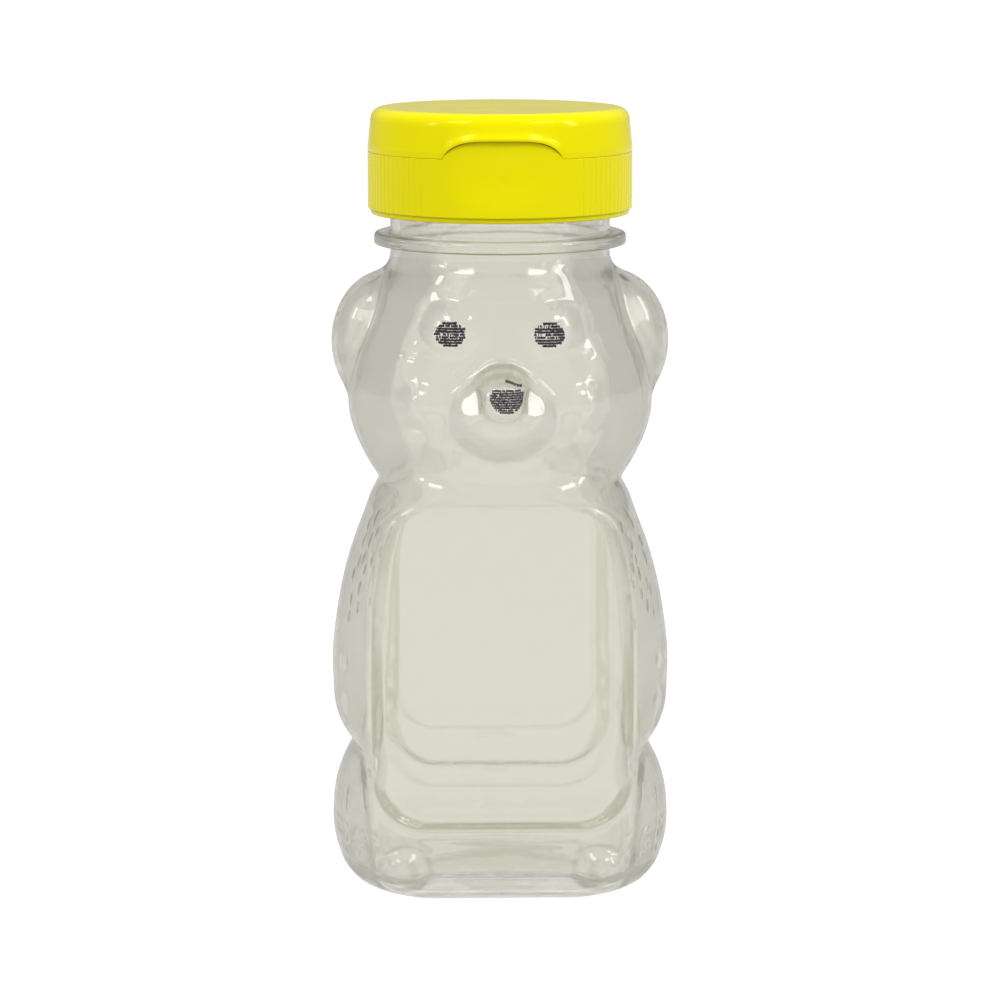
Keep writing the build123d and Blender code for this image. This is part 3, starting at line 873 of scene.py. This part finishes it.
def lidLine():
    radius, foot, top = closure["radius"], lid["foot"], lid["top"]
    ceiling = top - lid["wall"]
    bore = radius - lid["draft"] / 2 - lid["wall"]
    plugBore, ringFoot = lid["plugRadius"] - lid["plugWall"], foot + lid["ringGap"]
    ringOuter = lid["ringInner"] + lid["ringWall"]
    return softPath([
        (lid["tipRadius"], ceiling, 0),
        (plugBore, ceiling, 0.3),
        (plugBore, lid["plugTip"], 0.2),
        (lid["plugRadius"], lid["plugTip"], 0.3),
        (lid["plugRadius"], ceiling, 0.3),
        (lid["ringInner"], ceiling, 0.3),
        (lid["ringInner"], ringFoot, 0.2),
        (ringOuter, ringFoot, 0.2),
        (ringOuter, ceiling, 0.1),
        (bore, ceiling, 0.1),
        (bore, foot, 0.1),
        (radius, foot, 0.08),
        (radius, lid["straight"], 0.4),
        (radius - lid["draft"], top, lid["shoulderRound"]),
        (lid["topFlat"], top, 0.2),
        (lid["tipRadius"], top, 0),
    ], lid["lineStep"], arcSteps=14)


def buildLid():
    line = lidLine()
    rings = turned(line, capAngles)
    radii, levels = line[:, 0][:, None], line[:, 1][:, None]
    ceiling = lid["top"] - lid["wall"]
    firstOuter = np.argmax(line[:, 0] > closure["radius"] - closure["skinBand"])
    outer = (np.arange(len(line)) > firstOuter)[:, None]
    # the skirt's lower edge is lifted in front, and the snap ring clears the base there
    arch = archLift()
    skirt = radii > lid["ringInner"] + lid["ringWall"] + closure["skinBand"]
    lowShare = np.clip(1 - (levels - lid["foot"]) / (ceiling - lid["archFade"] - lid["foot"]), 0, 1)
    onRing = (radii > lid["ringInner"] - lid["ringBand"]) & ~skirt
    ringLift = np.where(arch > closure["skinBand"], arch + lid["ringClear"], arch)
    levels = levels + np.where(skirt, arch * lowShare, np.where(onRing, ringLift * lowShare, 0))
    brow = lid["browRise"] * bell(levels - lid["foot"] - arch - lid["browUp"], lid["browWidth"])
    brow = brow * outer * smoothStep(*lid["browFade"], arch) * (levels < lid["top"] - lid["browDown"])
    reach = np.broadcast_to(radii, levels.shape) + brow
    rings[..., 0] = reach * capCosine
    rings[..., 1] = reach * capSine
    rings[..., 2] = levels
    return ringSkin("flip_top", rings, firstPole=(0, 0, ceiling), lastPole=(0, 0, lid["top"]))


lidPiece = buildLid()
print("lid built,", len(lidPiece.data.polygons), "faces")


# the film hinge: a web and two straps of thin plastic between the base and the lid, built as fixed shapes

filmHinge = {
    "inner": 20.29,
    "outer": 20.63,
    "round": 0.08,
    "high": 115.0,
    "lineStep": 0.06,
    "stations": 40,
    "blendReach": 0.9,
    # first angle, last angle and lowest height
    "web": (79.0, 101.0, 113.2),
    "rightStrap": (64.0, 74.0, 111.7),
    "leftStrap": (106.0, 116.0, 111.7),
}


def filmPiece(name, firstAngle, lastAngle, low):
    inner, outer, high, rounding = (
        filmHinge["inner"], filmHinge["outer"], filmHinge["high"], filmHinge["round"]
    )
    corners = ((inner, low), (inner, high), (outer, high), (outer, low))
    section = softPath([(*corner, rounding) for corner in corners], filmHinge["lineStep"], loop=True)
    rows = np.array([
        [(radius * math.cos(angle), radius * math.sin(angle), height) for radius, height in section]
        for angle in np.radians(np.linspace(firstAngle, lastAngle, filmHinge["stations"]))
    ])
    return ringSkin(name, rows, firstPole=rows[0].mean(0), lastPole=rows[-1].mean(0))


webPiece = filmPiece("film_web", *filmHinge["web"])
rightStrapPiece = filmPiece("right_film_strap", *filmHinge["rightStrap"])
leftStrapPiece = filmPiece("left_film_strap", *filmHinge["leftStrap"])
print("film hinge built")


# the printed eyes and nose: rows of short dashes, as a jet printer lays them

ink = {
    "lift": 0.02,
    "thick": 0.03,
    "leftEye": (-7.9, 88.05, 2.32, 1.9),
    "rightEye": (6.95, 87.95, 2.32, 1.9),
    "nose": (0.45, 79.3, 2.45, 2.35),
    "noseTop": 80.45,
    "eyeRowStep": 0.42,
    "noseRowStep": 0.36,
    "eyeFillShares": (0.97, 0.72, 1.0, 1.0, 0.84, 0.74, 0.95, 1.0, 1.0),
    "noseFillShares": (1.0, 0.97, 1.0, 0.95),
    "startStray": (-0.1, 0.15),
    "endStray": (-0.15, 0.1),
    "dashWidth": 0.12,
    "widthShares": (0.8, 1.5),
    "tallShares": (0.4, 0.56),
    "topShares": (0.6, 0.95),
    "stepShares": (0.9, 1.15),
    "rowStray": 0.04,
    "ticks": ((0.3, 81.75), (0.7, 81.65), (1.1, 81.5), (1.5, 81.3), (1.95, 81.15), (2.4, 81.05)),
    "tickWidth": 0.36,
    "tickBelow": 0.24,
    "tickAbove": 0.16,
}


def skinPoint(x, z):
    # the bottle's outside at a place seen from the front
    row = gridRows(outerGrid, np.array([z]))[0]
    front = np.abs(angles - math.pi * 1.5) < math.pi * 0.4
    across = row[front] * np.cos(angles[front])
    return np.interp(x, across, row[front]), np.interp(x, across, angles[front])


def inkPiece(name, dashes):
    points, quads = [], []
    for x0, x1, z0, z1 in dashes:
        base = len(points)
        for lift in (ink["lift"] - ink["thick"] / 2, ink["lift"] + ink["thick"]):
            for x, z in ((x0, z0), (x1, z0), (x1, z1), (x0, z1)):
                reach, angle = skinPoint(x, z)
                points.append(((reach + lift) * math.cos(angle), (reach + lift) * math.sin(angle), z))
        quads += [
            (base + 4, base + 5, base + 6, base + 7), (base + 3, base + 2, base + 1, base),
            (base, base + 1, base + 5, base + 4), (base + 1, base + 2, base + 6, base + 5),
            (base + 2, base + 3, base + 7, base + 6), (base + 3, base, base + 4, base + 7),
        ]
    piece = addMesh(name, np.array(points), np.array(quads), np.empty((0, 3), int))
    for polygon in piece.data.polygons:
        polygon.use_smooth = False
    return piece


def dashRows(spot, rowStep, fillShares, top=math.inf):
    # the dashes of one printed spot, kept inside an ellipse and below its top
    middleX, middleZ, halfWidth, halfHeight = spot
    dashes = []
    for row in range(int(2 * halfHeight / rowStep)):
        z = middleZ + halfHeight - (row + 0.5) * rowStep
        if z > top:
            continue
        chord = halfWidth * math.sqrt(max(0, 1 - ((z - middleZ) / halfHeight) ** 2))
        x = middleX - chord + rng.uniform(*ink["startStray"])
        end = middleX + chord + rng.uniform(*ink["endStray"])
        while x < end:
            wide = ink["dashWidth"] * rng.uniform(*ink["widthShares"])
            if rng.uniform() >= fillShares[row % len(fillShares)]:
                x += wide
                continue
            tall = rowStep * rng.uniform(*ink["tallShares"])
            level = z + stray(ink["rowStray"])
            dashes.append((x, x + wide, level - tall, level + tall * rng.uniform(*ink["topShares"])))
            x += wide * rng.uniform(*ink["stepShares"])
    return dashes


leftDashes = dashRows(ink["leftEye"], ink["eyeRowStep"], ink["eyeFillShares"])
rightDashes = dashRows(ink["rightEye"], ink["eyeRowStep"], ink["eyeFillShares"])
noseDashes = dashRows(ink["nose"], ink["noseRowStep"], ink["noseFillShares"], ink["noseTop"])
noseDashes += [
    (x, x + ink["tickWidth"], z - ink["tickBelow"], z + ink["tickAbove"]) for x, z in ink["ticks"]
]
leftEyePiece = inkPiece("left_eye_dashes", leftDashes)
rightEyePiece = inkPiece("right_eye_dashes", rightDashes)
nosePiece = inkPiece("nose_dashes", noseDashes)
print("prints laid,", len(leftDashes) + len(rightDashes) + len(noseDashes), "dashes")


# the finishes, with small tools for their nodes

def newMaterial(name):
    material = bpy.data.materials.new(name)
    material.use_nodes = True
    nodes, links = material.node_tree.nodes, material.node_tree.links
    return material, nodes, links, nodes["Principled BSDF"]


def grainOf(nodes, links, kind, scale, detail=None):
    # a texture in the piece's own coordinates
    coords = nodes.new("ShaderNodeTexCoord")
    texture = nodes.new(kind)
    texture.inputs["Scale"].default_value = scale
    if detail is not None:
        texture.inputs["Detail"].default_value = detail
    links.new(coords.outputs["Object"], texture.inputs["Vector"])
    return texture


def addBump(nodes, links, shader, height, strength, distance):
    bump = nodes.new("ShaderNodeBump")
    bump.inputs["Strength"].default_value = strength
    bump.inputs["Distance"].default_value = distance
    links.new(height, bump.inputs["Height"])
    links.new(bump.outputs["Normal"], shader.inputs["Normal"])


def toneOf(nodes, links, share, first, second):
    tone = nodes.new("ShaderNodeMix")
    tone.data_type = "RGBA"
    tone.inputs["A"].default_value = (*first, 1)
    tone.inputs["B"].default_value = (*second, 1)
    links.new(share, tone.inputs["Factor"])
    return tone.outputs["Result"]


def mathOf(nodes, links, operation, first, second, clamp=False):
    step = nodes.new("ShaderNodeMath")
    step.operation = operation
    step.use_clamp = clamp
    for socket, value in zip(step.inputs, (first, second)):
        if isinstance(value, float):
            socket.default_value = value
        else:
            links.new(value, socket)
    return step.outputs["Value"]


def shaderMix(nodes, links, share, first, second):
    mix = nodes.new("ShaderNodeMixShader")
    if isinstance(share, float):
        mix.inputs["Fac"].default_value = share
    else:
        links.new(share, mix.inputs["Fac"])
    links.new(first, mix.inputs[1])
    links.new(second, mix.inputs[2])
    return mix.outputs["Shader"]


plasticLook = {
    "color": (0.92, 0.83, 0.0),
    "deepColor": (0.88, 0.78, 0.0),
    "cloudScale": 90,
    "cloudDetail": 3,
    "grainScale": 2600,
    "grainDetail": 2,
    "bumpStrength": 0.06,
    "bumpDistance": 0.00005,
    "roughness": (0.1, 0.2),
    "ior": 1.49,
    "sheen": (1.0, 0.95, 0.35),
    "sheenLevel": 0.3,
}


def yellowPlasticMaterial():
    material, nodes, links, shader = newMaterial("YellowPlastic")
    cloud = grainOf(
        nodes, links, "ShaderNodeTexNoise", plasticLook["cloudScale"], plasticLook["cloudDetail"]
    )
    tone = toneOf(nodes, links, cloud.outputs["Fac"], plasticLook["color"], plasticLook["deepColor"])
    links.new(tone, shader.inputs["Base Color"])
    grain = grainOf(
        nodes, links, "ShaderNodeTexNoise", plasticLook["grainScale"], plasticLook["grainDetail"]
    )
    addBump(
        nodes, links, shader, grain.outputs["Fac"],
        plasticLook["bumpStrength"], plasticLook["bumpDistance"],
    )
    shine = nodes.new("ShaderNodeMapRange")
    shine.inputs["To Min"].default_value, shine.inputs["To Max"].default_value = plasticLook["roughness"]
    links.new(cloud.outputs["Fac"], shine.inputs["Value"])
    links.new(shine.outputs["Result"], shader.inputs["Roughness"])
    shader.inputs["IOR"].default_value = plasticLook["ior"]
    shader.inputs["Specular Tint"].default_value = (*plasticLook["sheen"], 1)
    shader.inputs["Specular IOR Level"].default_value = plasticLook["sheenLevel"]
    return material


clearLook = {
    "tint": (0.833, 0.825, 0.768),
    # painted shade colour of the glass, where the wall is seen edge on and along its creases
    "tintEdgeShade": (0.36, 0.34, 0.2),
    "film": (0.865, 0.86, 0.83),
    # painted shade colour of the share let straight on, in the same places
    "filmEdgeShade": (0.48, 0.46, 0.34),
    "filmShare": 0.28,
    "shadow": (0.9, 0.89, 0.86),
    # how strong the painted shade is along the creases, and how it grows where the wall is seen edge on
    "foldShade": 0.5,
    "edgeBlend": 0.08,
    "edgePower": 1.6,
    "edgeGain": 2.0,
    "rippleScale": 260,
    "rippleDetail": 2,
    "bumpStrength": 0.12,
    "bumpDistance": 0.0002,
    "ior": 1.57,
    "roughness": 0.02,
}


def clearPlasticMaterial():
    # glass, with a share of the light let straight on, and painted shade where the wall is seen edge on
    # and along its creases
    material, nodes, links, shader = newMaterial("ClearPlastic")
    shader.inputs["Transmission Weight"].default_value = 1.0
    shader.inputs["IOR"].default_value = clearLook["ior"]
    shader.inputs["Roughness"].default_value = clearLook["roughness"]
    ripple = grainOf(
        nodes, links, "ShaderNodeTexNoise", clearLook["rippleScale"], clearLook["rippleDetail"]
    )
    addBump(
        nodes, links, shader, ripple.outputs["Fac"], clearLook["bumpStrength"], clearLook["bumpDistance"]
    )
    # painted shade where the wall is seen edge on, from the Layer Weight's facing
    rim = nodes.new("ShaderNodeLayerWeight")
    rim.inputs["Blend"].default_value = clearLook["edgeBlend"]
    steep = mathOf(nodes, links, "POWER", rim.outputs["Facing"], clearLook["edgePower"])
    edge = mathOf(nodes, links, "MULTIPLY", steep, clearLook["edgeGain"], clamp=True)
    # painted shade along the creases, from the mesh's crease mask
    foldShadeMark = nodes.new("ShaderNodeAttribute")
    foldShadeMark.attribute_name = "FoldShadeMask"
    foldShade = mathOf(nodes, links, "MULTIPLY", foldShadeMark.outputs["Fac"], clearLook["foldShade"])
    paintedShade = mathOf(nodes, links, "ADD", edge, foldShade, clamp=True)
    shadedTint = toneOf(nodes, links, paintedShade, clearLook["tint"], clearLook["tintEdgeShade"])
    links.new(shadedTint, shader.inputs["Base Color"])
    film = nodes.new("ShaderNodeBsdfTransparent")
    links.new(toneOf(nodes, links, paintedShade, clearLook["film"], clearLook["filmEdgeShade"]), film.inputs["Color"])
    skin = shaderMix(nodes, links, clearLook["filmShare"], shader.outputs["BSDF"], film.outputs["BSDF"])
    # shadows of the bottle stay pale
    rays = nodes.new("ShaderNodeLightPath")
    through = nodes.new("ShaderNodeBsdfTransparent")
    through.inputs["Color"].default_value = (*clearLook["shadow"], 1)
    shown = shaderMix(nodes, links, rays.outputs["Is Shadow Ray"], skin, through.outputs["BSDF"])
    links.new(shown, nodes["Material Output"].inputs["Surface"])
    return material


inkLook = {
    "color": (0.008, 0.007, 0.013),
    "paleColor": (0.03, 0.027, 0.045),
    "speckScale": 5000,
    "roughness": 0.55,
}


def darkInkMaterial():
    material, nodes, links, shader = newMaterial("DarkInk")
    speck = grainOf(nodes, links, "ShaderNodeTexNoise", inkLook["speckScale"])
    tone = toneOf(nodes, links, speck.outputs["Fac"], inkLook["color"], inkLook["paleColor"])
    links.new(tone, shader.inputs["Base Color"])
    shader.inputs["Roughness"].default_value = inkLook["roughness"]
    return material


foamLook = {
    "color": (0.86, 0.86, 0.83),
    "cellScale": 3000,
    "bumpStrength": 0.4,
    "bumpDistance": 0.0001,
    "roughness": 0.8,
}


def linerFoamMaterial():
    material, nodes, links, shader = newMaterial("LinerFoam")
    foam = grainOf(nodes, links, "ShaderNodeTexVoronoi", foamLook["cellScale"])
    addBump(
        nodes, links, shader, foam.outputs["Distance"], foamLook["bumpStrength"], foamLook["bumpDistance"]
    )
    shader.inputs["Base Color"].default_value = (*foamLook["color"], 1)
    shader.inputs["Roughness"].default_value = foamLook["roughness"]
    return material


def dress(piece, node, material):
    piece.data.materials.append(material)
    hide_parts(node)


yellowPlastic, clearPlastic = yellowPlasticMaterial(), clearPlasticMaterial()
darkInk, linerFoam = darkInkMaterial(), linerFoamMaterial()
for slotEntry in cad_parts["seal_liner"].material_slots:
    slotEntry.material = linerFoam
for piece, node in (
    (webPiece, "hinge_web"), (rightStrapPiece, "right_hinge_strap"), (leftStrapPiece, "left_hinge_strap"),
):
    dress(piece, node, yellowPlastic)
    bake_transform(piece)
for piece, node, material, slot, body in (
    (bottlePiece, "bottle", clearPlastic, "clear_plastic", "bottle"),
    (closurePiece, "closure_base", yellowPlastic, "yellow_plastic", "closure"),
    (lidPiece, "flip_lid", yellowPlastic, "yellow_plastic", "lid"),
    (leftEyePiece, "left_eye_print", darkInk, "black_ink", "bottle"),
    (rightEyePiece, "right_eye_print", darkInk, "black_ink", "bottle"),
    (nosePiece, "nose_print", darkInk, "black_ink", "bottle"),
):
    dress(piece, node, material)
    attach(piece, body)
print("finishes on")


# the studio: camera, soft boxes, white backdrop and floor

studio = {
    "cameraDistance": 0.5551,
    "cameraHeight": 0.1559,
    "cameraPitch": 9.84,
    "cameraTurn": 1.2,
    "lens": 130.0,
    "sensor": 36,
    "clipStart": 0.01,
    # name, azimuth, elevation, distance, size and power
    "boxes": (
        ("LeftHighBox", -43, 42, 1.0, (0.29, 0.20), 1.5), ("RightHighBox", 43, 42, 1.0, (0.29, 0.20), 1.5),
        ("LeftLowBox", -65, 22, 1.0, (0.10, 0.20), 0.6), ("RightLowBox", 67, 27, 1.0, (0.12, 0.48), 1.6),
    ),
    "aimHeight": 0.07,
    "ambient": 1.0,
    "frontGlow": 0.2,
    "backGlow": 0.34,
    "glowTurn": (-0.1, 0.6),
    "floorReach": 3,
    "floorColor": (0.2, 0.2, 0.2),
    "floorRoughness": 0.9,
    "floorGlow": 0.85,
    "floorShine": 0.6,
}


def addCamera():
    camera = bpy.data.objects.new("Camera", bpy.data.cameras.new("Camera"))
    bpy.context.scene.collection.objects.link(camera)
    turn, distance = math.radians(studio["cameraTurn"]), studio["cameraDistance"]
    camera.location = (-distance * math.sin(turn), -distance * math.cos(turn), studio["cameraHeight"])
    camera.rotation_euler = (math.radians(90 - studio["cameraPitch"]), 0, -turn)
    camera.data.lens = studio["lens"]
    camera.data.sensor_width = studio["sensor"]
    camera.data.clip_start = studio["clipStart"]
    bpy.context.scene.camera = camera


def addSoftBox(name, azimuth, elevation, distance, size, power):
    light = bpy.data.lights.new(name, "AREA")
    light.shape = "RECTANGLE"
    light.size, light.size_y = size
    light.energy = power
    box = bpy.data.objects.new(name, light)
    bpy.context.scene.collection.objects.link(box)
    aside, up = math.radians(azimuth), math.radians(elevation)
    away = Vector((math.sin(aside) * math.cos(up), -math.cos(aside) * math.cos(up), math.sin(up)))
    box.location = away * distance + Vector((0, 0, studio["aimHeight"]))
    box.rotation_euler = away.to_track_quat("Z", "Y").to_euler()


def seenThrough(nodes, links):
    # rays that show the backdrop itself: straight from the camera, or through the clear plastic
    rays = nodes.new("ShaderNodeLightPath")
    straight = mathOf(
        nodes, links, "MAXIMUM", rays.outputs["Is Camera Ray"], rays.outputs["Is Transmission Ray"]
    )
    return straight, rays.outputs["Is Glossy Ray"]


def addBackdrop():
    world = bpy.data.worlds.new("Studio")
    bpy.context.scene.world = world
    world.use_nodes = True
    nodes, links = world.node_tree.nodes, world.node_tree.links
    straight, mirrored = seenThrough(nodes, links)
    direction = nodes.new("ShaderNodeTexCoord")
    split = nodes.new("ShaderNodeSeparateXYZ")
    links.new(direction.outputs["Generated"], split.inputs["Vector"])
    # reflections see the pale backdrop behind the bottle and a dim room in front of it
    behind = nodes.new("ShaderNodeMapRange")
    behind.inputs["From Min"].default_value, behind.inputs["From Max"].default_value = studio["glowTurn"]
    behind.inputs["To Min"].default_value = studio["frontGlow"]
    behind.inputs["To Max"].default_value = studio["backGlow"]
    links.new(split.outputs["Y"], behind.inputs["Value"])
    dull = nodes.new("ShaderNodeMix")
    dull.inputs["A"].default_value = studio["ambient"]
    links.new(mirrored, dull.inputs["Factor"])
    links.new(behind.outputs["Result"], dull.inputs["B"])
    level = nodes.new("ShaderNodeMix")
    level.inputs["B"].default_value = 1.0
    links.new(straight, level.inputs["Factor"])
    links.new(dull.outputs["Result"], level.inputs["A"])
    nodes["Background"].inputs["Color"].default_value = (1, 1, 1, 1)
    links.new(level.outputs["Result"], nodes["Background"].inputs["Strength"])


def addFloor():
    reach = studio["floorReach"]
    mesh = bpy.data.meshes.new("Floor")
    mesh.from_pydata(
        [(-reach, -reach, 0), (reach, -reach, 0), (reach, reach, 0), (-reach, reach, 0)],
        [], [(0, 1, 2, 3)],
    )
    floor = bpy.data.objects.new("Floor", mesh)
    bpy.context.scene.collection.objects.link(floor)
    paint, nodes, links, shader = newMaterial("FloorPaint")
    shader.inputs["Base Color"].default_value = (*studio["floorColor"], 1)
    shader.inputs["Roughness"].default_value = studio["floorRoughness"]
    shader.inputs["Specular IOR Level"].default_value = 0.0
    straight, mirrored = seenThrough(nodes, links)
    duller = mathOf(nodes, links, "MULTIPLY", mirrored, studio["floorShine"])
    seen = mathOf(nodes, links, "MAXIMUM", straight, duller)
    glow = nodes.new("ShaderNodeEmission")
    links.new(mathOf(nodes, links, "MULTIPLY", seen, studio["floorGlow"]), glow.inputs["Strength"])
    both = nodes.new("ShaderNodeAddShader")
    links.new(shader.outputs["BSDF"], both.inputs[0])
    links.new(glow.outputs["Emission"], both.inputs[1])
    links.new(both.outputs["Shader"], nodes["Material Output"].inputs["Surface"])
    floor.data.materials.append(paint)


addCamera()
for softBox in studio["boxes"]:
    addSoftBox(*softBox)
addBackdrop()
addFloor()
bpy.context.scene.view_settings.view_transform = "Standard"
print("studio set")
